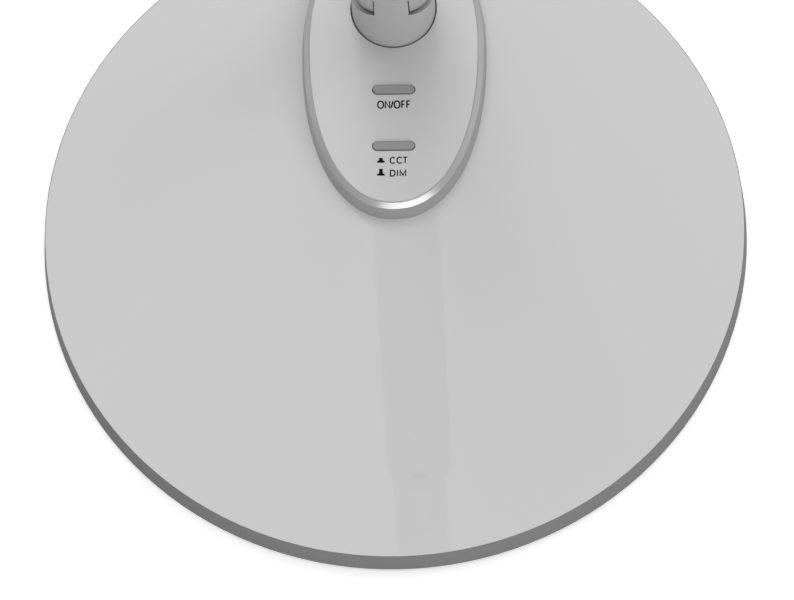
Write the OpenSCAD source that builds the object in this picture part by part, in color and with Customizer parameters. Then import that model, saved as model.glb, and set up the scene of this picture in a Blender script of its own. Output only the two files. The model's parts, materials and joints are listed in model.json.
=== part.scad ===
// Folding LED desk lamp: weighted round base with an oval control panel,
// swivel and tilt hinge, telescopic tube arm, elbow and folding light head.
// The origin is the centre of the base on the desk. +X is right, +Y is the
// rear of the base, and +Z is up. Millimetres.

/* [Base] */
// Diameter of the base at its top edge
base_d = 200; // [192:1:216]
// Height of the base's top face above the desk
base_top = 9.8; // [9.8:0.2:12]
// Thickness of the foam pad that it stands on
pad_t = 1.5; // [1:0.1:1.6]
// How much wider the base is at its foot than at its top, per side
base_draft = 0.5; // [0:0.05:1]

/* [Panel] */
// Greatest width of the panel's top face
panel_w = 48.8; // [46:0.1:52]
// Height of the panel above the base's top face
panel_h = 7.2; // [7.2:0.1:8]
// Distance of the panel's widest place behind the base's centre
panel_mid_y = 55; // [54:0.5:56]
// Length of the panel's top face in front of its widest place
panel_front = 48.9; // [47:0.1:50]
// Length of the panel's top face behind its widest place
panel_rear = 37; // [36:0.5:39]
// Squareness of the oval: 2 is an ellipse
panel_power = 2.18; // [2.1:0.02:2.5]

/* [Buttons] */
// Length of each button's slot
slot_l = 12.4; // [11:0.1:13]
// Width of each button's slot
slot_w = 3.04; // [2.9:0.02:4]
// Distance of the on-off button behind the base's centre
power_y = 41.3; // [41:0.1:43]
// Distance of the colour and dimming button behind the base's centre
cct_y = 23.76; // [23:0.02:25]
// Travel of a button
button_travel = 0.4; // [0.2:0.05:0.4]
// Height of a button's top above the panel
button_rise = 0.6; // [0.4:0.1:0.8]

/* [Swivel and hinge] */
// Distance of the swivel axis behind the base's centre
swivel_y = 66.8; // [66:0.05:68]
// Diameter of the swivel collar
collar_d = 24; // [23.8:0.1:24.4]
// Height of the hinge axis above the desk
hinge_z = 43.5; // [43:0.5:46]
// Width of the collar's tongue between the fork's ears
tongue_w = 9.7; // [9:0.1:10]
// Diameter of the fork at the foot of the arm
fork_d = 23.5; // [23.2:0.1:23.6]

/* [Arm] */
// Forward lean of the arm
arm_lean = 10; // [0:1:20]
// Outer diameter of the lower tube
tube_d = 19.6; // [19.4:0.1:19.8]
// Distance of the lower tube's rim from the hinge, along the arm
rim_l = 213.5; // [205:0.5:230]
// Outer diameter of the inner tube
inner_d = 16.1; // [15.9:0.1:16.2]
// Length of the inner tube
inner_len = 205; // [190:1:205]
// Length of inner tube that stands out of the rim
inner_out = 146.5; // [70:0.5:150]

/* [Head] */
// Forward bend of the head out of the arm's line
elbow_bend = 32; // [0:1:120]
// Distance of the head's far end from the elbow's axis
head_l = 225; // [160:1:225]
// Width of the head
head_w = 40; // [34:1:50]
// Thickness of the head
head_t = 13; // [12:0.5:13]

/* [Hidden] */

$fn = 96;
eps = 0.01;
fit = 0.02;          // gap of a pressed or glued fit
run = 0.05;          // radial gap of a running fit
air = 0.3;           // gap between bodies that only pass each other

// Base levels
base_r = base_d / 2;
floor_t = 1.6;
floor_z = pad_t + floor_t;
plate_t = 1.8;
cover_z = base_top - plate_t;
wall_t = 2.2;
well_r = base_r - wall_t;
rebate_r = base_r - 1.4;
cover_lip = 0.08;
pad_r = base_r - 6;
weight_r = base_r - 6;
screw_ring = base_r - 20;
screw_count = 6;
screw_r = 1.3;
boss_r = 3.4;

// Panel levels
panel_top = base_top + panel_h;
chamfer = 1.4;
wall_inset = 0.64;
lid_t = 1.5;
lid_z = panel_top - lid_t;
rim_flat = 0.3;
skin = 1.4;
oval_steps = 96;
collar_gap = 0.4;
panel_screw_at = [[16.5, 34], [-16.5, 34], [12, 80.5], [-12, 80.5]];

// Control board
pcb_t = 1.2;
pcb_z = base_top + 1.1;
pcb_top = pcb_z + pcb_t;
pcb_w = 22;
pcb_front = 16;
pcb_rear = 54;
pcb_screw_at = [[8.6, 33.4], [-8.6, 33.4], [8.6, 50], [-8.6, 50]];
switch_w = 6;
switch_h = 1.9;
plunger_r = 1.6;
wire_hole_y = 49;
wire_hole_r = 4;
lead_r = 0.7;
lead_out = 11.2;
lead_in = 2;
lead_turn = base_r - 16.5;
lead_bay = 12.6;

// Buttons
cap_gap = 0.24;
flange_t = 0.6;
flange_top = lid_z - 0.1;
flange_z = flange_top - flange_t;
cap_top = panel_top + button_rise;

// Power inlet, a 3.5 mm barrel socket in the base's rear wall
jack_z = floor_z + 2.4;
jack_bore_r = 1.85;
jack_pin_r = 0.65;
jack_nose_r = 2.45;
jack_w = 9;
jack_back = base_r - 14;
jack_front = base_r - 2.6;
jack_face = base_r - 0.3;

// Swivel
bush_top = lid_z - 0.1;
washer_t = 0.6;
collar_z = bush_top + washer_t;
collar_r = collar_d / 2;
stud_r = 6;
stud_bore = 3.6;
stud_z = floor_z + 0.8;
stud_top = collar_z + 6;
bush_r = 7.45;
bush_flange_r = 10.5;
nut_t = 3.3;
swivel_washer_t = 0.75;
weight_hole_r = 10.5;
stop_ring = 8.4;
stop_r = 0.9;
stop_sweep = 90;
stop_over = asin((stop_r + 0.1) / stop_ring) * 2;

// Hinge at the foot of the arm
tongue_r = collar_r;
seat_r = 12.95;
ear_r = seat_r - air;
slot_r = tongue_r + 0.6;
hinge_r = 2.5;
head_seat = 8.8;
hinge_head_r = 3.9;
hinge_head_t = 2.2;
friction_t = 0.3;
ear_screw_r = 1;
ear_screw_z = -7.2;
ear_screw_turn = 54;
ear_screw_foot = 8.2;
ear_in = tongue_w / 2 + friction_t;
wire_y = 6.6;
fork_r = fork_d / 2;
fork_top = 30;
socket_l = 16;

// Telescopic arm
tube_r = tube_d / 2;
tube_in = tube_r - 1.2;
inner_r = inner_d / 2;
inner_in = inner_r - 1.4;
guide_l = 22;
guide_at = rim_l - 7.5;
guide_head_l = 5.4;
guide_head_w = 2.3;
guide_rise = 0.5;
guide_pin_r = 1;
rim_ring_t = 0.5;
inner_foot = rim_l + inner_out - inner_len;
inner_top = rim_l + inner_out;
sleeve_l = 12;
travel_up = rim_l - guide_l - (inner_foot + sleeve_l) - 0.5;
travel_down = inner_foot - (socket_l + 4);
groove_r = inner_r - 0.8;
key_r = 1.2;

// Elbow
elbow_off = 10;
flange_h = 2;
fork_foot = inner_top + flange_h + 0.1;
elbow_rise = 16;
elbow_l = fork_foot + elbow_rise;
elbow_r = 7.5;
elbow_foot_r = 9;
elbow_foot_t = 5;
elbow_tongue = 5;
elbow_ear_in = elbow_tongue + friction_t;
elbow_ear_out = 9.3;
elbow_pin_r = 2;
spigot_r = 4.5;
spigot_l = 16;
spigot_bore = 2.5;
lug_ring = 6.4;
lug_r = 0.8;

// Head
head_back = elbow_off + head_t / 2;
head_face = elbow_off - head_t / 2;
head_root = 14;
root_t = 3;
cap_t = 3;
shell_t = 1.6;
corner_r = 3;
diffuser_t = 2;
board_t = 1.4;
pad_h = 0.3;
board_w = 30;
board_root = head_root + 10;
board_end = head_l - 11;
led_rows = [-8, 8];
led_count = 14;
led_pitch = (board_end - board_root - 16) / (led_count - 1);
board_top = head_back - shell_t - pad_h;
board_face = board_top - board_t;

// Points of the panel's oval, grown by g all round
function oval(g) = [for (i = [0:oval_steps - 1])
    let (t = 360 * i / oval_steps, c = cos(t), s = sin(t), reach = s < 0 ? panel_front : panel_rear)
    [(panel_w / 2 + g) * sign(c) * pow(abs(c), 2 / panel_power),
     panel_mid_y + (reach + g) * sign(s) * pow(abs(s), 2 / panel_power)]];

module oval_slab(g, z0, z1) {
    translate([0, 0, z0]) linear_extrude(z1 - z0) polygon(oval(g));
}

// Sloping ring of the oval from one outline to another
module oval_slope(g0, z0, g1, z1) {
    hull() {
        oval_slab(g0, z0, z0 + eps);
        oval_slab(g1, z1 - eps, z1);
    }
}

module stadium(l, w, z0, z1) {
    translate([0, 0, z0]) linear_extrude(z1 - z0) union() {
        square([l - w, w], center = true);
        for (side = [-1, 1]) translate([side * (l - w) / 2, 0]) circle(w / 2);
    }
}

module tube(r, hole, z0, z1) {
    translate([0, 0, z0]) difference() {
        cylinder(r = r, h = z1 - z0);
        translate([0, 0, -1]) cylinder(r = hole, h = z1 - z0 + 2);
    }
}

module rod(r, z0, z1) {
    translate([0, 0, z0]) cylinder(r = r, h = z1 - z0);
}

// Cylinder along X
module rod_x(r, x0, x1) {
    translate([x0, 0, 0]) rotate([0, 90, 0]) cylinder(r = r, h = x1 - x0);
}

// Cylinder along Y
module rod_y(r, y0, y1) {
    translate([0, y0, 0]) rotate([-90, 0, 0]) cylinder(r = r, h = y1 - y0);
}

module box(x0, x1, y0, y1, z0, z1) {
    translate([x0, y0, z0]) cube([x1 - x0, y1 - y0, z1 - z0]);
}

// Rectangle with round corners, for extrusion
module round_rect(x0, x1, y0, y1, r) {
    translate([x0 + r, y0]) square([x1 - x0 - 2 * r, y1 - y0]);
    translate([x0, y0 + r]) square([x1 - x0, y1 - y0 - 2 * r]);
    for (x = [x0 + r, x1 - r], y = [y0 + r, y1 - r]) translate([x, y]) circle(r);
}

module at_screws() {
    for (i = [0:screw_count - 1]) rotate(360 * i / screw_count) translate([screw_ring, 0, 0]) children();
}

module at_points(points) {
    for (p = points) translate([p[0], p[1], 0]) children();
}

module on_swivel() {
    translate([0, swivel_y, 0]) children();
}

module on_jack() {
    translate([0, 0, jack_z]) children();
}

// Hinge axis at the origin, +Z along the arm and -Y to its front
module on_arm() {
    translate([0, swivel_y, hinge_z]) rotate([arm_lean, 0, 0]) children();
}

// Elbow axis at the origin, arm upright
module on_elbow() {
    on_arm() translate([0, -elbow_off, elbow_l]) children();
}

// Elbow axis at the origin, +Z along the head and its light on the -Y side
module on_head() {
    on_elbow() rotate([elbow_bend, 0, 0]) children();
}

// Base

module base_pad() {
    color("dimgray") rod(pad_r, 0, pad_t);
}

module base_tray() {
    color("gray") difference() {
        translate([0, 0, pad_t])
            cylinder(r1 = base_r + base_draft, r2 = base_r, h = base_top - pad_t);
        rod(well_r, floor_z, base_top + 1);
        translate([0, 0, cover_z])
            cylinder(r1 = rebate_r, r2 = base_r - cover_lip, h = plate_t + eps);
        at_screws() {
            translate([0, 0, pad_t - eps]) cylinder(r1 = 2.95, r2 = screw_r + 0.1, h = 1.55);
            rod(screw_r + 0.1, pad_t, floor_z + 1);
        }
        on_jack() rod_y(jack_nose_r + 0.1, well_r - 4, base_r + 2);
    }
}

module base_weight() {
    color("darkslategray") difference() {
        rod(weight_r, floor_z, cover_z - 0.1);
        at_screws() rod(boss_r + 0.4, 0, base_top);
        on_swivel() rod(weight_hole_r, 0, base_top);
        at_points(panel_screw_at) rod(3.2, 0, base_top);
        box(-lead_bay, lead_bay, wire_hole_y - 6, base_r, 0, base_top);
    }
}

module base_cover() {
    color("silver") difference() {
        union() {
            translate([0, 0, cover_z])
                cylinder(r1 = rebate_r - run, r2 = base_r - cover_lip - run, h = plate_t);
            at_screws() rod(boss_r, floor_z + 0.1, cover_z + eps);
        }
        at_screws() rod(screw_r + fit, 0, base_top - 1);
        on_swivel() rod(bush_r + run, 0, base_top + 1);
        at_points(panel_screw_at) rod(screw_r + 0.2, 0, base_top + 1);
        translate([0, wire_hole_y, 0]) rod(wire_hole_r, 0, base_top + 1);
    }
}

module tray_screws() {
    color("silver") at_screws() {
        translate([0, 0, pad_t]) cylinder(r1 = 2.85, r2 = screw_r, h = 1.5);
        rod(screw_r, pad_t + 0.5, base_top - 1.2);
    }
}

// Panel

module panel_bezel() {
    color("gainsboro") difference() {
        union() {
            oval_slope(chamfer + wall_inset, base_top, chamfer, panel_top - chamfer);
            oval_slope(chamfer, panel_top - chamfer - eps, 0, panel_top);
        }
        oval_slab(-skin, base_top - 1, panel_top + 1);
        oval_slab(-rim_flat, lid_z, panel_top + 1);
    }
}

module panel_plate() {
    color("lightgray") difference() {
        union() {
            oval_slab(-rim_flat - fit, lid_z, panel_top);
            at_points(panel_screw_at) rod(3, base_top, lid_z + eps);
            at_points(pcb_screw_at) rod(2.2, pcb_top, lid_z + eps);
        }
        on_swivel() rod(collar_r + collar_gap, lid_z - 1, panel_top + 1);
        for (y = [power_y, cct_y]) translate([0, y, 0]) stadium(slot_l, slot_w, lid_z - 1, panel_top + 1);
        at_points(panel_screw_at) rod(screw_r + fit, base_top - 1, lid_z + 0.6);
        at_points(pcb_screw_at) rod(1 + fit, pcb_top - 1, lid_z + 0.6);
    }
}

module panel_screws() {
    color("silver") at_points(panel_screw_at) {
        rod(2.5, cover_z - 1.2, cover_z);
        rod(screw_r, cover_z - 0.5, lid_z);
    }
}

module control_pcb() {
    color("seagreen") difference() {
        box(-pcb_w / 2, pcb_w / 2, pcb_front, pcb_rear, pcb_z, pcb_top);
        at_points(pcb_screw_at) rod(1.15, pcb_z - 1, pcb_top + 1);
    }
}

module pcb_screws() {
    color("silver") at_points(pcb_screw_at) {
        rod(1.9, pcb_z - 0.9, pcb_z);
        rod(1, pcb_z - 0.5, lid_z);
    }
}

module tact_switch() {
    difference() {
        box(-switch_w / 2, switch_w / 2, -switch_w / 2, switch_w / 2, pcb_top, pcb_top + switch_h);
        rod(plunger_r + 0.1, pcb_top + 0.3, pcb_top + switch_h + 1);
    }
}

module switch_power() {
    color("dimgray") translate([0, power_y, 0]) tact_switch();
}

module switch_cct() {
    color("dimgray") translate([0, cct_y, 0]) tact_switch();
}

module driver_parts() {
    color("darkslategray") {
        box(-6.2, -0.4, 31.4, 36.4, pcb_top, pcb_top + 2.8);
        box(0.8, 5.8, 31.4, 35.4, pcb_top, pcb_top + 1.3);
        box(-5, 5, 48.2, 52.2, pcb_top, pcb_top + 2.6);
        translate([0, 18.6, 0]) rod(1.6, pcb_top, pcb_top + 3);
    }
}

// Moving control pieces

module button_cap(y) {
    translate([0, y, 0]) {
        stadium(slot_l - 2 * cap_gap, slot_w - 2 * cap_gap, flange_top - eps, cap_top);
        stadium(slot_l + 1.2, slot_w + 1.2, flange_z, flange_top);
    }
}

module plunger(y) {
    translate([0, y, 0]) rod(plunger_r, pcb_top + 0.3 + button_travel + 0.1, flange_z);
}

module button_power() { color("darkgray") button_cap(power_y); }

module button_cct() { color("darkgray") button_cap(cct_y); }

module plunger_power() { color("black") plunger(power_y); }

module plunger_cct() { color("black") plunger(cct_y); }

// Power inlet

module dc_jack() {
    color("black") on_jack() difference() {
        union() {
            box(-jack_w / 2, jack_w / 2, jack_back, jack_front, floor_z - jack_z, cover_z - 0.1 - jack_z);
            rod_y(jack_nose_r, jack_front - eps, jack_face);
        }
        rod_y(jack_bore_r, jack_back + 2.6, jack_face + 1);
    }
}

module dc_jack_pin() {
    color("gold") on_jack() rod_y(jack_pin_r, jack_back + 2.6, jack_face - 1);
}

// One insulated wire, round the swivel's nut and up through the cover
module jack_wire() {
    translate([lead_in, 0, 0]) rod_y(lead_r, lead_turn, jack_back);
    translate([0, lead_turn, 0]) rod_x(lead_r, lead_in, lead_out);
    translate([lead_out, 0, 0]) rod_y(lead_r, wire_hole_y, lead_turn);
    translate([0, wire_hole_y, 0]) rod_x(lead_r, lead_in, lead_out);
    translate([lead_in, wire_hole_y, 0]) rod(lead_r, 0, pcb_z - jack_z);
    for (turn = [[lead_in, lead_turn], [lead_out, lead_turn],
                 [lead_out, wire_hole_y], [lead_in, wire_hole_y]])
        translate([turn[0], turn[1], 0]) sphere(lead_r, $fn = 32);
}

module jack_lead() {
    color("firebrick") on_jack() {
        jack_wire();
        mirror([1, 0, 0]) jack_wire();
    }
}

// Swivel

module stop_track(z0, z1) {
    rotate(90 - stop_sweep - stop_over) rotate_extrude(angle = 2 * (stop_sweep + stop_over))
        translate([stop_ring - stop_r - 0.15, z0]) square([2 * stop_r + 0.3, z1 - z0]);
}

module swivel_bush() {
    color("whitesmoke") on_swivel() difference() {
        union() {
            rod(bush_r, cover_z, base_top + 1);
            rod(bush_flange_r, base_top, bush_top);
        }
        rod(stud_r + run, cover_z - 1, bush_top + 1);
        stop_track(bush_top - 2, bush_top + 1);
    }
}

module thrust_washer() {
    color("white") on_swivel() difference() {
        tube(bush_flange_r - 0.1, stud_r + 0.1, bush_top, collar_z);
        stop_track(bush_top - 1, collar_z + 1);
    }
}

// Side outline of the collar and its tongue, drawn across the hinge axis
module tongue_outline() {
    translate([-tongue_r, collar_z - hinge_z]) square([2 * tongue_r, hinge_z - collar_z]);
    circle(tongue_r);
}

module swivel_collar() {
    color("darkgray") difference() {
        translate([0, swivel_y, hinge_z]) intersection() {
            translate([0, 0, collar_z - hinge_z]) cylinder(r = collar_r, h = hinge_z - collar_z + tongue_r);
            union() {
                translate([-tongue_w / 2, 0, 0]) rotate([90, 0, 90])
                    linear_extrude(tongue_w) tongue_outline();
                difference() {
                    box(-collar_r - 1, collar_r + 1, -collar_r - 1, collar_r + 1, collar_z - hinge_z, -3.6);
                    rod_x(seat_r, -collar_r - 2, collar_r + 2);
                }
            }
        }
        translate([0, swivel_y, hinge_z]) rod_x(hinge_r + run, -collar_r, collar_r);
        on_swivel() {
            rod(stud_r + fit, collar_z - 1, stud_top);
            rod(stud_bore, collar_z, stud_top + 3);
            translate([0, wire_y, 0]) rod(1.8, stud_top + 0.5, hinge_z + 20);
            translate([0, 0, stud_top + 1.9]) rod_y(1.8, 0, wire_y);
            translate([0, stop_ring, 0]) rod(stop_r + fit, collar_z - 1, collar_z + 3);
        }
    }
}

module swivel_stud() {
    color("silver") on_swivel() tube(stud_r, stud_bore, stud_z, stud_top);
}

module swivel_washer() {
    color("silver") on_swivel() tube(9.4, stud_r + fit, cover_z - swivel_washer_t - fit, cover_z - fit);
}

module swivel_nut() {
    color("silver") on_swivel() translate([0, 0, cover_z - swivel_washer_t - fit - nut_t]) difference() {
        cylinder(r = 9.2, h = nut_t, $fn = 6);
        translate([0, 0, -1]) cylinder(r = stud_r + fit, h = nut_t + 2);
    }
}

module swivel_stop_pin() {
    color("silver") on_swivel() translate([0, stop_ring, 0]) rod(stop_r, bush_top - 1.6, collar_z + 3);
}

module swivel_lead() {
    color("firebrick") on_swivel() rod(1.2, stud_z, stud_top + 1);
}

// Lower arm

module lower_fork() {
    color("silver") on_arm() difference() {
        intersection() {
            union() {
                rod(fork_r, -fork_r - 2, fork_top - 0.8);
                translate([0, 0, fork_top - 0.8]) cylinder(r1 = fork_r, r2 = fork_r - 0.8, h = 0.8);
            }
            union() {
                rod_x(ear_r, -fork_r - 1, fork_r + 1);
                box(-fork_r - 1, fork_r + 1, -fork_r - 1, fork_r + 1, 0, fork_top + 1);
            }
        }
        intersection() {
            box(-ear_in, ear_in, -fork_r - 2, fork_r + 2, -fork_r - 3, fork_top);
            union() {
                rod_x(slot_r, -fork_r, fork_r);
                box(-fork_r, fork_r, -fork_r - 2, fork_r + 2, -fork_r - 3, 0);
            }
        }
        rod_x(hinge_r + fit, -fork_r - 1, fork_r + 1);
        rod_x(hinge_head_r + 0.2, -fork_r - 1, -head_seat);
        rod_x(hinge_head_r + 0.2, head_seat, fork_r + 1);
        rod(tube_r + fit, socket_l, fork_top + 1);
        rod(3.2, 0, fork_top);
        translate([0, 0, socket_l + 7]) rod_y(2 + fit, 0, fork_r + 1);
        at_ear_screw() rod_y(ear_screw_r + fit, -fork_r - 1, -ear_screw_foot);
    }
}

module ear_screw() {
    color("black") on_arm() at_ear_screw() difference() {
        rod_y(ear_screw_r, 0.3 - fork_r, -ear_screw_foot - 0.1);
        rotate([90, 0, 0]) translate([0, 0, fork_r - 1.2]) cylinder(r = 0.55, h = 1.2, $fn = 6);
    }
}

// Friction set screw in the left ear
module at_ear_screw() {
    translate([0, 0, ear_screw_z]) rotate(-ear_screw_turn) children();
}

module hinge_screw() {
    color("black") on_arm() difference() {
        union() {
            rod_x(hinge_head_r, -head_seat - hinge_head_t, -head_seat);
            rod_x(hinge_r, -head_seat - 0.5, head_seat + 2);
        }
        translate([-head_seat - hinge_head_t - 1, 0, 0]) rotate([0, 90, 0])
            cylinder(r = 1.7, h = 2.4, $fn = 6);
    }
}

module hinge_nut() {
    color("black") on_arm() difference() {
        rod_x(hinge_head_r, head_seat, head_seat + hinge_head_t);
        rod_x(hinge_r + fit, head_seat - 1, head_seat + hinge_head_t + 1);
    }
}

module hinge_washers() {
    color("white") on_arm() for (x = [-ear_in, tongue_w / 2]) difference() {
        rod_x(8.5, x + fit, x + friction_t - fit);
        rod_x(hinge_r + fit, x - 1, x + friction_t + 1);
        translate([0, wire_y, 0]) box(x - 1, x + friction_t + 1, -2.2, 3, -12, 12);
    }
}

module lower_tube() {
    color("silver") on_arm() difference() {
        tube(tube_r, tube_in, socket_l, rim_l);
        translate([0, 0, guide_at]) {
            rod_y(guide_pin_r + fit, -tube_r - 1, 0);
            rod_y(key_r + fit, 0, tube_r + 1);
        }
        translate([0, 0, socket_l + 7]) rod_y(2 + fit, 0, tube_r + 1);
    }
}

module fork_grub_screw() {
    color("black") on_arm() translate([0, 0, socket_l + 7]) difference() {
        rod_y(2, tube_in + 0.2, fork_r - 0.4);
        translate([0, fork_r - 1.6, 0]) rotate([-90, 0, 0]) cylinder(r = 1.1, h = 2, $fn = 6);
    }
}

module guide_bush() {
    color("dimgray") on_arm() difference() {
        union() {
            tube(tube_in - fit, inner_r + run, rim_l - guide_l, rim_l + rim_ring_t);
            tube(tube_r - 0.1, inner_r + run, rim_l + fit, rim_l + rim_ring_t);
        }
        translate([0, 0, guide_at]) {
            rod_y(guide_pin_r + fit, -tube_r, 0);
            rod_y(key_r + fit, 0, tube_r);
        }
    }
}

module guide_rivet() {
    color("black") on_arm() translate([0, 0, guide_at]) {
        difference() {
            rotate([90, 0, 0]) stadium(guide_head_l, guide_head_w, tube_r - 1, tube_r + guide_rise);
            rod(tube_r + fit, -guide_head_w, guide_head_w);
        }
        rod_y(guide_pin_r, -tube_r - 0.2, -inner_r - 0.15);
    }
}

module guide_key() {
    color("black") on_arm() translate([0, 0, guide_at]) rod_y(key_r, groove_r + 0.15, tube_r - 0.1);
}

// Inner arm

module inner_tube() {
    color("silver") on_arm() difference() {
        tube(inner_r, inner_in, inner_foot, inner_top);
        box(-key_r - 0.1, key_r + 0.1, groove_r, inner_r + 1,
            guide_at - travel_up - 2, guide_at + travel_down + 2);
        translate([0, 0, inner_top - 5]) rod_y(1.2, 0, inner_r + 1);
    }
}

module friction_sleeve() {
    color("dimgray") on_arm() difference() {
        tube(tube_in - run, inner_r + fit, inner_foot, inner_foot + sleeve_l);
        rod(inner_r + fit, inner_foot - 1, inner_foot + sleeve_l + 1);
    }
}

module elbow_socket() {
    color("silver") on_arm() difference() {
        union() {
            rod(inner_in - fit, inner_top - 12, inner_top + eps);
            rod(inner_r + 0.8, inner_top, inner_top + flange_h);
        }
        rod(spigot_r + run, inner_top - 13, inner_top + flange_h + 1);
        translate([0, 0, inner_top]) lug_track(0.6, flange_h + 1);
    }
}

module lug_track(z0, z1) {
    rotate(-9) rotate_extrude(angle = 198)
        translate([lug_ring - lug_r - 0.15, z0]) square([2 * lug_r + 0.3, z1 - z0]);
}

module inner_lead() {
    color("firebrick") on_arm() rod(1.2, inner_foot, inner_top - 14);
}

// Elbow

module elbow_side() {
    hull() {
        circle(elbow_r, $fn = 48);
        translate([elbow_off - elbow_foot_r + 0.3, -elbow_rise]) square([2 * elbow_foot_r - 2.6, 1]);
    }
}

module elbow_fork() {
    color("silver") on_elbow() {
        difference() {
            union() {
                translate([0, elbow_off, 0]) {
                    rod(elbow_foot_r, -elbow_rise, -elbow_rise + elbow_foot_t);
                    rod(spigot_r, -elbow_rise - spigot_l, -elbow_rise + eps);
                    translate([0, lug_ring, 0])
                        rod(lug_r, -elbow_rise - 1.1, -elbow_rise + eps);
                }
                translate([-elbow_ear_out, 0, 0]) rotate([90, 0, 90])
                    linear_extrude(2 * elbow_ear_out) elbow_side();
            }
            box(-elbow_ear_in, elbow_ear_in, -20, 30, -elbow_rise + elbow_foot_t, 20);
            rod_x(elbow_pin_r + fit, -12, 12);
            translate([0, elbow_off, 0]) {
                rod(spigot_bore, -elbow_rise - spigot_l - 1, -elbow_rise + elbow_foot_t + 1);
                tube(spigot_r + 1, spigot_r - 0.6, -elbow_rise - 15.3, -elbow_rise - 14.5);
            }
        }
    }
}

module elbow_circlip() {
    color("silver") on_elbow() translate([0, elbow_off, 0]) difference() {
        tube(spigot_r + 1.2, spigot_r - 0.6 + fit, -elbow_rise - 15.3 + fit, -elbow_rise - 14.5 - fit);
        box(-1, 1, 0, 8, -40, 0);
    }
}

module elbow_screw() {
    color("black") on_elbow() difference() {
        union() {
            rod_x(3.6, -elbow_ear_out - 2, -elbow_ear_out);
            rod_x(elbow_pin_r, -elbow_ear_out - 0.5, elbow_ear_out + 2);
        }
        translate([-elbow_ear_out - 3, 0, 0]) rotate([0, 90, 0]) cylinder(r = 1.4, h = 2.2, $fn = 6);
    }
}

module elbow_nut() {
    color("black") on_elbow() difference() {
        rod_x(3.6, elbow_ear_out, elbow_ear_out + 2.4);
        rod_x(elbow_pin_r + fit, elbow_ear_out - 1, elbow_ear_out + 3);
    }
}

module elbow_washers() {
    color("white") on_elbow() for (x = [-elbow_ear_in, elbow_tongue]) difference() {
        rod_x(elbow_r - 0.5, x + fit, x + friction_t - fit);
        rod_x(elbow_pin_r + fit, x - 1, x + friction_t + 1);
    }
}

// Head

module knuckle_side() {
    hull() {
        circle(elbow_r, $fn = 48);
        translate([head_face + 1.4, head_root - 1]) square([head_t - 2.8, 1]);
    }
}

module head_knuckle() {
    color("silver") on_head() difference() {
        union() {
            translate([-elbow_tongue, 0, 0]) rotate([90, 0, 90])
                linear_extrude(2 * elbow_tongue) knuckle_side();
            translate([0, 0, head_root - 3.5]) linear_extrude(3.5)
                round_rect(-14, 14, head_face + 1.4, head_back - 1.4, 2);
        }
        rod_x(elbow_pin_r + run, -6, 6);
        for (side = [-1, 1]) translate([side * 10, elbow_off, 0])
            rod(1.25 + fit, head_root - 5, head_root + 1);
        translate([0, elbow_off, 0]) rod(1.8, elbow_r, head_root + 1);
    }
}

module knuckle_screws() {
    color("silver") on_head() for (side = [-1, 1]) translate([side * 10, elbow_off, 0]) {
        rod(1.25, head_root - 3.2, head_root + root_t + 0.5);
        rod(2.4, head_root + root_t, head_root + root_t + 1.4);
    }
}

module head_housing() {
    color("silver") on_head() difference() {
        translate([0, 0, head_root]) linear_extrude(head_l - cap_t - head_root)
            round_rect(-head_w / 2, head_w / 2, head_face, head_back, corner_r);
        box(-head_w / 2 + shell_t, head_w / 2 - shell_t, head_face + diffuser_t + 1, head_back - shell_t,
            head_root + root_t, head_l);
        box(-head_w / 2 + shell_t + 1.6, head_w / 2 - shell_t - 1.6, head_face - 1, head_back - shell_t - 2,
            head_root + root_t, head_l);
        box(-head_w / 2 + shell_t, head_w / 2 - shell_t, head_face - 1, head_face + diffuser_t,
            head_root + root_t, head_l);
        for (side = [-1, 1]) translate([side * 10, elbow_off, 0])
            rod(1.25 + fit, head_root - 1, head_root + root_t + 1);
        translate([0, elbow_off, 0]) rod(1.8, head_root - 1, head_root + root_t + 1);
        at_board_screws() rod_y(1 + fit, board_top, head_back - 0.5);
    }
}

module head_end_cap() {
    color("silver") on_head() {
        translate([0, 0, head_l - cap_t]) linear_extrude(cap_t)
            round_rect(-head_w / 2, head_w / 2, head_face, head_back, corner_r);
        box(-head_w / 2 + shell_t + 0.1, head_w / 2 - shell_t - 0.1, head_face + diffuser_t + 2,
            head_back - shell_t - 2, head_l - cap_t - 4, head_l - cap_t + eps);
    }
}

module at_board_screws() {
    for (x = [-12, 12], z = [board_root + 4, board_end - 4]) translate([x, 0, z]) children();
}

module thermal_pad() {
    color("lightblue") on_head() difference() {
        box(-board_w / 2, board_w / 2, board_top, board_top + pad_h, board_root, board_end);
        at_board_screws() rod_y(1.3, board_top - 1, board_top + pad_h + 1);
    }
}

module led_board() {
    color("white") on_head() difference() {
        box(-board_w / 2, board_w / 2, board_face, board_top, board_root, board_end);
        at_board_screws() rod_y(1 + fit, board_face - 1, board_top + 1);
    }
}

module board_screws() {
    color("silver") on_head() at_board_screws() {
        rod_y(1.9, board_face - 1, board_face);
        rod_y(1, board_face - 0.5, head_back - 0.6);
    }
}

module leds() {
    color("khaki") on_head() for (x = led_rows, i = [0:led_count - 1])
        translate([x, 0, board_root + 8 + i * led_pitch])
            box(-1.4, 1.4, board_face - 0.8, board_face, -1.75, 1.75);
}

module diffuser() {
    color("white") on_head() box(-head_w / 2 + shell_t + 0.1, head_w / 2 - shell_t - 0.1,
        head_face, head_face + diffuser_t, head_root + root_t + 0.1, head_l - cap_t - 0.1);
}

module head_lead() {
    color("firebrick") on_head() translate([0, elbow_off, 0])
        rod(1, head_root - 2, board_root - 0.5);
}

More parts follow.
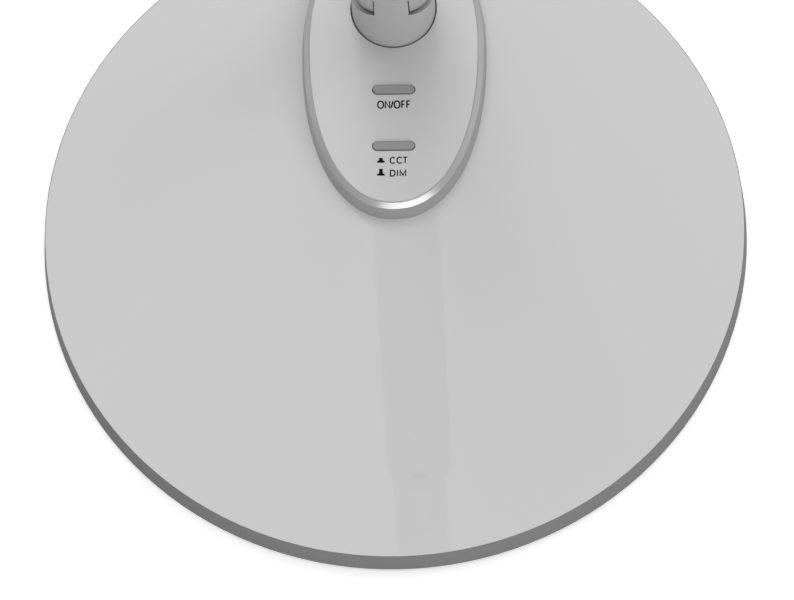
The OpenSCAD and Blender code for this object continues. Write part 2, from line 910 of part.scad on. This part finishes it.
base_pad();
base_tray();
base_weight();
base_cover();
tray_screws();
panel_bezel();
panel_plate();
panel_screws();
control_pcb();
pcb_screws();
switch_power();
switch_cct();
driver_parts();
dc_jack();
dc_jack_pin();
jack_lead();
swivel_bush();
thrust_washer();
button_power();
plunger_power();
button_cct();
plunger_cct();
swivel_collar();
swivel_stud();
swivel_washer();
swivel_nut();
swivel_stop_pin();
swivel_lead();
lower_fork();
ear_screw();
hinge_screw();
hinge_nut();
hinge_washers();
lower_tube();
fork_grub_screw();
guide_bush();
guide_rivet();
guide_key();
inner_tube();
friction_sleeve();
elbow_socket();
inner_lead();
elbow_fork();
elbow_circlip();
elbow_screw();
elbow_nut();
elbow_washers();
head_knuckle();
knuckle_screws();
head_housing();
head_end_cap();
thermal_pad();
led_board();
board_screws();
leds();
diffuser();
head_lead();
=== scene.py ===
import json
import math

import bmesh
import bpy
from mathutils import Matrix, Vector


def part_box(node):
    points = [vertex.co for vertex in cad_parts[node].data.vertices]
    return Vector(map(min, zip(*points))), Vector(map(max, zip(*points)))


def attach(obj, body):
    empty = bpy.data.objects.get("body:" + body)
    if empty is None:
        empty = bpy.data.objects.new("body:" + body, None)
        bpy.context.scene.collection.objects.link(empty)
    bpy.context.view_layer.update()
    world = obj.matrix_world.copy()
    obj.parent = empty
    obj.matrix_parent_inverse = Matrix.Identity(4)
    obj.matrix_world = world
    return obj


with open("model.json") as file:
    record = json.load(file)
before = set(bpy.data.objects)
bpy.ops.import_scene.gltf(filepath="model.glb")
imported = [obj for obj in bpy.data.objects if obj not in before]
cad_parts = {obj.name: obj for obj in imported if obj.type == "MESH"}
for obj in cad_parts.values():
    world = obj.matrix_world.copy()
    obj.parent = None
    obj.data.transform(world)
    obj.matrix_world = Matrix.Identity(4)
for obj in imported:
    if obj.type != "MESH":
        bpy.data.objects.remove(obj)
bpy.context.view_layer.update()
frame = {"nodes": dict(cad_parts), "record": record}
NODES = frame["nodes"]
MM = 0.001

# ---------------------------------------------------------------- camera

AZIMUTH = 4.0            # degrees, the camera stands a little to the right of the front
ELEVATION = 66.94
ROLL = -4.4
SENSOR = 36              # mm
LENS = 725.4             # mm, a very long lens
DISTANCE = 4.5685        # metres
CLIP = (0.1, 60)
AIM_RIGHT = 0.000693     # metres from the centre of the base's top face, across the picture
AIM_UP = -0.019338


def make_camera():
    azimuth, elevation, roll = map(math.radians, (AZIMUTH, ELEVATION, ROLL))
    back = Vector((math.sin(azimuth) * math.cos(elevation),
                   -math.cos(azimuth) * math.cos(elevation),
                   math.sin(elevation)))
    level = Vector((math.cos(azimuth), math.sin(azimuth), 0))
    upright = back.cross(level)
    right = level * math.cos(roll) + upright * math.sin(roll)
    up = upright * math.cos(roll) - level * math.sin(roll)
    data = bpy.data.cameras.new("camera")
    data.lens = LENS
    data.sensor_width = SENSOR
    data.clip_start, data.clip_end = CLIP
    camera = bpy.data.objects.new("camera", data)
    bpy.context.scene.collection.objects.link(camera)
    centre = Vector((0, 0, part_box("base_cover")[1].z))
    place = centre + back * DISTANCE + right * AIM_RIGHT + up * AIM_UP
    camera.matrix_world = Matrix.Translation(place) @ Matrix((right, up, back)).transposed().to_4x4()
    bpy.context.scene.camera = camera


# ---------------------------------------------------------------- light

METAL_NODES = ("panel_bezel", "swivel_collar", "lower_fork", "lower_tube", "inner_tube", "elbow_socket",
               "elbow_fork", "head_knuckle", "head_housing", "head_end_cap")
RIM_NODES = ("panel_bezel",)

# Name, azimuth and elevation in degrees, distance, width and height in metres, and level
SOFTBOXES = (
    ("overhead", 196, 75, 3.0, 2.6, 2.6, 0.48),
    ("rear_left", 201, 50, 2.6, 0.8, 0.8, 0.12),
    ("rear_right", 116, 50, 2.6, 0.8, 0.8, 0.09),
    ("front", 21, 23, 2.2, 2.0, 1.0, 0.51),
)
WORLD_LEVEL = 0.32
FLOOR_HALF = 30.0
FLOOR_DROP = 0.00005     # metres below the foam pad
FLOOR_PAINT = 0.8
FLOOR_LIFT = 0.48        # white that the floor adds to what the camera and gloss see, near the lamp
FAR_LIFT = 0.78          # and where the soft lights no longer reach
LIFT_FROM, LIFT_TO = 0.8, 2.4


def softbox(name, azimuth, elevation, distance, width, height, level):
    """A soft light aimed at the base. level is what it adds to a white card that faces it."""
    azimuth, elevation = math.radians(azimuth), math.radians(elevation)
    toward = Vector((math.sin(azimuth) * math.cos(elevation),
                     -math.cos(azimuth) * math.cos(elevation),
                     math.sin(elevation)))
    data = bpy.data.lights.new(name, "AREA")
    data.shape = "RECTANGLE"
    data.size, data.size_y = width, height
    data.energy = level * math.pi ** 2 * distance ** 2
    light = bpy.data.objects.new(name, data)
    light.location = toward * distance
    light.rotation_euler = toward.to_track_quat("Z", "Y").to_euler()
    light.visible_camera = False
    light.visible_glossy = False
    bpy.context.scene.collection.objects.link(light)
    return light


def glint(name, azimuth, elevation, distance, width, height, brightness, group):
    """A light panel that shows only in the gloss of a group of nodes, brightness times as bright as white."""
    light = softbox(name, azimuth, elevation, distance, width, height, 1)
    light.data.energy = brightness * math.pi * width * height
    light.visible_diffuse = False
    light.visible_glossy = True
    light.light_linking.receiver_collection = group


def group_of(name, nodes):
    group = bpy.data.collections.new(name)
    for node in nodes:
        group.objects.link(NODES[node])
    return group


def make_lights():
    for box in SOFTBOXES:
        softbox(*box)
    metal = group_of("metal", METAL_NODES)
    glint("front_strip", 17, 21, 2.0, 2.6, 0.36, 16, group_of("rim", RIM_NODES))
    glint("left_strip", 240, 2, 2.0, 1.4, 0.8, 1.5, metal)
    glint("right_strip", 108, 4, 2.0, 1.4, 0.8, 1.25, metal)


def seen_directly(nodes, links):
    """1 for the rays of the camera, of gloss and of glass, otherwise 0."""
    path = nodes.new("ShaderNodeLightPath")
    total = path.outputs["Is Camera Ray"]
    for ray in ("Is Glossy Ray", "Is Transmission Ray"):
        either = nodes.new("ShaderNodeMath")
        either.operation = "ADD"
        either.use_clamp = True
        links.new(total, either.inputs[0])
        links.new(path.outputs[ray], either.inputs[1])
        total = either.outputs[0]
    return total


def make_world():
    """Even pale light. The camera, gloss and glass see it as white."""
    world = bpy.data.worlds.new("studio")
    bpy.context.scene.world = world
    world.use_nodes = True
    nodes, links = world.node_tree.nodes, world.node_tree.links
    nodes.clear()
    fill = nodes.new("ShaderNodeBackground")
    fill.inputs["Strength"].default_value = WORLD_LEVEL
    white = nodes.new("ShaderNodeBackground")
    white.inputs["Strength"].default_value = 1.0
    for background in (fill, white):
        background.inputs["Color"].default_value = (1, 1, 1, 1)
    mix = nodes.new("ShaderNodeMixShader")
    out = nodes.new("ShaderNodeOutputWorld")
    links.new(seen_directly(nodes, links), mix.inputs[0])
    links.new(fill.outputs[0], mix.inputs[1])
    links.new(white.outputs[0], mix.inputs[2])
    links.new(mix.outputs[0], out.inputs["Surface"])


def make_floor():
    mesh = bpy.data.meshes.new("floor")
    h = FLOOR_HALF
    mesh.from_pydata([(-h, -h, 0), (h, -h, 0), (h, h, 0), (-h, h, 0)], [], [(0, 1, 2, 3)])
    floor = bpy.data.objects.new("floor", mesh)
    bpy.context.scene.collection.objects.link(floor)
    floor.location.z = -FLOOR_DROP
    material = bpy.data.materials.new("studio_floor")
    material.use_nodes = True
    nodes, links = material.node_tree.nodes, material.node_tree.links
    nodes.clear()
    paint = nodes.new("ShaderNodeBsdfDiffuse")
    paint.inputs["Color"].default_value = (FLOOR_PAINT, FLOOR_PAINT, FLOOR_PAINT, 1)
    glow = nodes.new("ShaderNodeEmission")
    level = nodes.new("ShaderNodeMath")
    level.operation = "MULTIPLY"
    place = nodes.new("ShaderNodeTexCoord")
    away = nodes.new("ShaderNodeVectorMath")
    away.operation = "LENGTH"
    lift = nodes.new("ShaderNodeMapRange")
    lift.interpolation_type = "SMOOTHSTEP"
    lift.inputs["From Min"].default_value = LIFT_FROM
    lift.inputs["From Max"].default_value = LIFT_TO
    lift.inputs["To Min"].default_value = FLOOR_LIFT
    lift.inputs["To Max"].default_value = FAR_LIFT
    links.new(place.outputs["Object"], away.inputs[0])
    links.new(away.outputs["Value"], lift.inputs["Value"])
    links.new(lift.outputs["Result"], level.inputs[1])
    both = nodes.new("ShaderNodeAddShader")
    out = nodes.new("ShaderNodeOutputMaterial")
    links.new(seen_directly(nodes, links), level.inputs[0])
    links.new(level.outputs[0], glow.inputs["Strength"])
    links.new(paint.outputs[0], both.inputs[0])
    links.new(glow.outputs[0], both.inputs[1])
    links.new(both.outputs[0], out.inputs["Surface"])
    mesh.materials.append(material)


# ---------------------------------------------------------------- materials

BROAD = 24               # size of the gloss's variation, in grains


def finish_of(name, colour, rough, metallic=0.0, coat=0.0, coat_rough=0.08, coat_ior=1.5, specular=0.5,
              grain=0.4, spread=0.03, bump=0.01, stretch=(1, 1, 1), lean=0.0, rough_spread=0.02):
    """A procedural finish. grain is its detail's size and bump its depth, in millimetres."""
    material = bpy.data.materials.new(name)
    material.use_nodes = True
    nodes, links = material.node_tree.nodes, material.node_tree.links
    shader = nodes["Principled BSDF"]
    shader.inputs["Metallic"].default_value = metallic
    shader.inputs["Specular IOR Level"].default_value = specular
    shader.inputs["Coat Weight"].default_value = coat
    shader.inputs["Coat Roughness"].default_value = coat_rough
    shader.inputs["Coat IOR"].default_value = coat_ior
    place = nodes.new("ShaderNodeTexCoord")
    turn = nodes.new("ShaderNodeMapping")
    turn.inputs["Rotation"].default_value = (-lean, 0, 0)
    turn.inputs["Scale"].default_value = stretch
    links.new(place.outputs["Object"], turn.inputs["Vector"])
    fine = nodes.new("ShaderNodeTexNoise")
    fine.inputs["Scale"].default_value = 1 / (grain * MM)
    fine.inputs["Detail"].default_value = 3
    broad = nodes.new("ShaderNodeTexNoise")
    broad.inputs["Scale"].default_value = 1 / (BROAD * grain * MM)
    broad.inputs["Detail"].default_value = 2
    for noise in (fine, broad):
        links.new(turn.outputs["Vector"], noise.inputs["Vector"])
    dark = tuple(c * (1 - spread) for c in colour)
    light = tuple(min(1, c * (1 + spread)) for c in colour)
    tint = nodes.new("ShaderNodeMix")
    tint.data_type = "RGBA"
    tint.inputs["A"].default_value = (*dark, 1)
    tint.inputs["B"].default_value = (*light, 1)
    links.new(fine.outputs["Fac"], tint.inputs["Factor"])
    links.new(tint.outputs["Result"], shader.inputs["Base Color"])
    gloss = nodes.new("ShaderNodeMapRange")
    gloss.inputs["To Min"].default_value = max(0.02, rough - rough_spread)
    gloss.inputs["To Max"].default_value = min(1, rough + rough_spread)
    links.new(broad.outputs["Fac"], gloss.inputs["Value"])
    links.new(gloss.outputs["Result"], shader.inputs["Roughness"])
    if bump:
        relief = nodes.new("ShaderNodeBump")
        relief.inputs["Strength"].default_value = 1.0
        relief.inputs["Distance"].default_value = bump * MM
        links.new(fine.outputs["Fac"], relief.inputs["Height"])
        links.new(relief.outputs["Normal"], shader.inputs["Normal"])
    return material


def grey(level):
    """Linear grey of an 8-bit display level."""
    c = level / 255
    c = c / 12.92 if c <= 0.04045 else ((c + 0.055) / 1.055) ** 2.4
    return (c, c, c)


LEAN = math.radians(10)  # of the arm

FINISHES = {
    "silver_lacquer": finish_of("silver_lacquer", grey(198), 0.5, coat=1.0, coat_rough=0.0, coat_ior=1.7,
                                specular=0.0, grain=0.25, spread=0.015, bump=0.0),
    # side_grey is painted shade: the side wall is the top's silver, darkened for the light an upright face misses
    "side_grey": finish_of("side_grey", grey(124), 0.6, specular=0.05, grain=0.3, spread=0.03, bump=0.004),
    "panel_silver": finish_of("panel_silver", grey(193), 0.28, metallic=0.08, coat=1.0, coat_rough=0.12,
                              coat_ior=1.5, grain=0.25, spread=0.015, bump=0.0, rough_spread=0.0),
    "bezel_silver": finish_of("bezel_silver", grey(156), 0.3, metallic=0.15, grain=0.3, spread=0.02, bump=0.001),
    "button_grey": finish_of("button_grey", grey(137), 0.45, grain=0.2, spread=0.03, bump=0.002),
    "cast_silver": finish_of("cast_silver", grey(171), 0.42, specular=0.4, grain=0.22, spread=0.03, bump=0.003),
    "tube_metal": finish_of("tube_metal", grey(196), 0.34, metallic=0.35, grain=0.25, spread=0.03, bump=0.001,
                            stretch=(1, 1, 0.04), lean=LEAN),
    "head_metal": finish_of("head_metal", grey(190), 0.34, metallic=0.35, grain=0.25, spread=0.03, bump=0.001),
    "foam": finish_of("foam", grey(52), 0.9, grain=0.8, spread=0.2, bump=0.15),
    "weight_iron": finish_of("weight_iron", grey(70), 0.6, metallic=0.9, grain=1.2, spread=0.2, bump=0.05),
    "steel": finish_of("steel", grey(170), 0.35, metallic=1.0, grain=0.3, spread=0.05, bump=0.002),
    "black_steel": finish_of("black_steel", grey(38), 0.4, metallic=0.6, grain=0.3, spread=0.1, bump=0.002),
    "black_plastic": finish_of("black_plastic", grey(40), 0.5, grain=0.3, spread=0.1, bump=0.003),
    "slide_plastic": finish_of("slide_plastic", grey(225), 0.5, grain=0.4, spread=0.03, bump=0.002),
    "guide_plastic": finish_of("guide_plastic", grey(75), 0.5, grain=0.3, spread=0.06, bump=0.003),
    "board_green": finish_of("board_green", (0.02, 0.16, 0.06), 0.4, coat=0.4, grain=0.6, spread=0.15, bump=0.004),
    "board_white": finish_of("board_white", grey(235), 0.45, grain=0.5, spread=0.02, bump=0.002),
    "pad_blue": finish_of("pad_blue", (0.22, 0.36, 0.5), 0.8, grain=0.5, spread=0.08, bump=0.01),
    "brass": finish_of("brass", (0.72, 0.5, 0.18), 0.3, metallic=1.0, grain=0.2, spread=0.05, bump=0.001),
    "wire_red": finish_of("wire_red", (0.4, 0.02, 0.015), 0.5, grain=0.4, spread=0.06, bump=0.003),
    "led_yellow": finish_of("led_yellow", (0.85, 0.66, 0.15), 0.4, grain=0.4, spread=0.05, bump=0.002),
    "opal": finish_of("opal", grey(238), 0.35, coat=0.5, coat_rough=0.2, grain=0.5, spread=0.01, bump=0.002),
}
PRINT_INK = finish_of("print_ink", grey(14), 0.6, specular=0.05, grain=0.15, spread=0.25, bump=0.001)


def dress_nodes():
    for part in frame["record"]["subparts"]:
        node = NODES[part["node"]]
        node.data.materials.clear()
        node.data.materials.append(FINISHES[part["material_slot"]])


# ---------------------------------------------------------------- softened edges

MERGE = 1e-6             # metres, joins the corners that neighbouring CAD faces share
FLAT = math.radians(0.02)
SHARP = math.radians(33)
BEVEL_STEPS = 2
FACE_WEIGHT = 80         # how far the large faces decide the shading

# Radius in millimetres that the edges of these nodes are broken by
EDGES = {
    "base_cover": 0.06, "panel_bezel": 0.05, "panel_plate": 0.02, "button_power": 0.15, "button_cct": 0.15,
    "inner_tube": 0.15, "head_housing": 0.3, "head_end_cap": 0.15,
    "diffuser": 0.15, "base_pad": 0.3,
}
CAST_NODES = ("elbow_fork", "head_knuckle")


def smooth_faces():
    """Nodes for a modifier that drops custom normals and flat shading. The CAD mesh stays as it is."""
    group = bpy.data.node_groups.new("smooth_faces", "GeometryNodeTree")
    for way in ("INPUT", "OUTPUT"):
        group.interface.new_socket("Geometry", in_out=way, socket_type="NodeSocketGeometry")
    start = group.nodes.new("NodeGroupInput")
    end = group.nodes.new("NodeGroupOutput")
    normal = group.nodes.new("GeometryNodeSetMeshNormal")
    normal.mode = "SHARPNESS"
    normal.inputs["Remove Custom"].default_value = True
    group.links.new(start.outputs[0], normal.inputs["Mesh"])
    group.links.new(normal.outputs[0], end.inputs[0])
    return group


def join_faces(node):
    """Shade a node's CAD faces smoothly, and join them where they meet."""
    node.modifiers.new("smooth", "NODES").node_group = SMOOTH_FACES
    weld = node.modifiers.new("joined", "WELD")
    weld.merge_threshold = MERGE


SMOOTH_FACES = smooth_faces()


def soften(node, radius):
    """Break a node's edges by a small radius, and shade what lies between them as one smooth surface."""
    join_faces(node)
    plane = node.modifiers.new("flats", "DECIMATE")
    plane.decimate_type = "DISSOLVE"
    plane.angle_limit = FLAT
    edge = node.modifiers.new("edges", "BEVEL")
    edge.width = radius * MM
    edge.segments = BEVEL_STEPS
    edge.limit_method = "ANGLE"
    edge.angle_limit = SHARP
    edge.use_clamp_overlap = False
    edge.miter_outer = "MITER_ARC"
    shade = node.modifiers.new("shading", "WEIGHTED_NORMAL")
    shade.mode = "FACE_AREA"
    shade.weight = FACE_WEIGHT


def smooth_over(node):
    """Shade a node smoothly apart from its sharp edges."""
    join_faces(node)
    split = node.modifiers.new("creases", "EDGE_SPLIT")
    split.split_angle = SHARP
    split.use_edge_sharp = False


# ---------------------------------------------------------------- lettering

ROUND_POWER = 2.35       # squareness of the round letters: 2 is an ellipse
MITRE_LIMIT = 0.45
PRINT_FOOT = 0.004       # mm above the panel's face
PRINT_TOP = 0.03
BIG, SMALL = 0.42, 0.37  # mm, widths of the strokes
ICON_X = -3.66


def glyph_arc(x0, x1, y0, y1, start, stop, steps=28):
    """Part of an upright rounded letter shape, as points on its middle line."""
    points = []
    for i in range(steps + 1):
        turn = math.radians(start + (stop - start) * i / steps)
        c, s = math.cos(turn), math.sin(turn)
        reach = [math.copysign(abs(v) ** (2 / ROUND_POWER), v) for v in (c, s)]
        points.append(((x0 + x1) / 2 + (x1 - x0) / 2 * reach[0], (y0 + y1) / 2 + (y1 - y0) / 2 * reach[1]))
    return points


def glyph(letter, x0, x1, y0, y1):
    """The strokes of one capital between its middle lines: lists of points, and whether each is closed."""
    middle = (y0 + y1) / 2
    if letter == "O":
        return [(glyph_arc(x0, x1, y0, y1, 0, 360)[:-1], True)]
    if letter == "C":
        return [(glyph_arc(x0, x1 + (x1 - x0) * 0.04, y0, y1, 42, 318), False)]
    if letter == "D":
        waist = x0 + (x1 - x0) * 0.42
        bow = glyph_arc(2 * waist - x1, x1, y0, y1, -90, 90)
        return [([(x0, y0)] + bow + [(x0, y1)], True)]
    if letter == "N":
        return [([(x0, y0), (x0, y1), (x1, y0), (x1, y1)], False)]
    if letter == "M":
        return [([(x0, y0), (x0, y1), ((x0 + x1) / 2, y0 + (y1 - y0) * 0.1), (x1, y1), (x1, y0)], False)]
    if letter == "F":
        arm = x0 + (x1 - x0) * 0.88
        return [([(x0, y0), (x0, y1), (x1, y1)], False), ([(x0, middle), (arm, middle)], False)]
    if letter == "T":
        stem = (x0 + x1) / 2
        return [([(x0, y1), (x1, y1)], False), ([(stem, y1), (stem, y0)], False)]
    if letter == "I":
        return [([(x0, y0), (x0, y1)], False)]
    return [([(x0, y0), (x1, y1)], False)]


def stroke_sides(points, closed, width):
    """The two edges of a stroke of even width, with mitred corners."""
    left, right = [], []
    count = len(points)
    for i, point in enumerate(points):
        here = Vector(point)
        before = Vector(points[i - 1]) if i or closed else None
        after = Vector(points[(i + 1) % count]) if i < count - 1 or closed else None
        ways = [(here - before).normalized()] if before else []
        ways += [(after - here).normalized()] if after else []
        sides = [Vector((-way.y, way.x)) for way in ways]
        across = sum(sides, Vector((0, 0))).normalized()
        reach = width / 2 / max(MITRE_LIMIT, across.dot(sides[0]))
        left.append(here + across * reach)
        right.append(here - across * reach)
    return left, right


def add_prism(bm, ring, z0, z1):
    low = [bm.verts.new((x * MM, y * MM, z0 * MM)) for x, y in ring]
    high = [bm.verts.new((x * MM, y * MM, z1 * MM)) for x, y in ring]
    bm.faces.new(high)
    bm.faces.new(low[::-1])
    for i in range(len(ring)):
        j = (i + 1) % len(ring)
        bm.faces.new((low[i], low[j], high[j], high[i]))


def print_piece(name, rings):
    """A thin layer of print on the panel, from closed outlines in millimetres."""
    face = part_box("panel_plate")[1].z / MM
    bm = bmesh.new()
    for ring in rings:
        add_prism(bm, ring, face + PRINT_FOOT, face + PRINT_TOP)
    bmesh.ops.recalc_face_normals(bm, faces=bm.faces[:])
    mesh = bpy.data.meshes.new(name)
    bm.to_mesh(mesh)
    bm.free()
    mesh.materials.append(PRINT_INK)
    piece = bpy.data.objects.new(name, mesh)
    bpy.context.scene.collection.objects.link(piece)
    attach(piece, "base")


def lettering(name, letters, y0, y1, width):
    """Capitals as (letter, left, right) in millimetres, between the outer heights y0 and y1."""
    half = width / 2
    rings = []
    for letter, x0, x1 in letters:
        for points, closed in glyph(letter, x0 + half, x1 - half, y0 + half, y1 - half):
            left, right = stroke_sides(points, closed, width)
            spans = len(points) if closed else len(points) - 1
            for i in range(spans):
                j = (i + 1) % len(points)
                rings.append((left[i], left[j], right[j], right[i]))
    print_piece(name, rings)


def press_icon(name, foot, rise):
    """Side view of a push button: a bar, its shoulders and the button, rise millimetres high."""
    half = ((1.08, 0), (1.08, 0.56), (0.7, 0.62), (0.52, 0.84), (0.52, rise))
    ring = [(ICON_X + w, foot + h) for w, h in half]
    ring += [(ICON_X - w, foot + h) for w, h in reversed(half)]
    print_piece(name, [ring])


def print_panel():
    lettering("print_onoff", (("O", -4.77, -2.72), ("N", -2.6, -0.98), ("/", -0.98, 0.04), ("O", -0.04, 1.94),
                              ("F", 2.12, 3.3), ("F", 3.56, 4.86)), 35.38, 37.94, BIG)
    lettering("print_cct", (("C", -1.18, 0.56), ("C", 0.76, 2.56), ("T", 2.48, 4.04)), 18.18, 20.38, SMALL)
    lettering("print_dim", (("D", -1.12, 0.52), ("I", 0.86, 1.23), ("M", 1.64, 3.6)), 14.2, 16.36, SMALL)
    press_icon("print_icon_up", 18.56, 1.5)
    press_icon("print_icon_down", 14.54, 2.12)


bpy.context.scene.view_settings.view_transform = "Standard"
make_camera()
make_world()
make_lights()
make_floor()
dress_nodes()
for name, radius in EDGES.items():
    soften(NODES[name], radius)
for name in CAST_NODES:
    smooth_over(NODES[name])
print_panel()
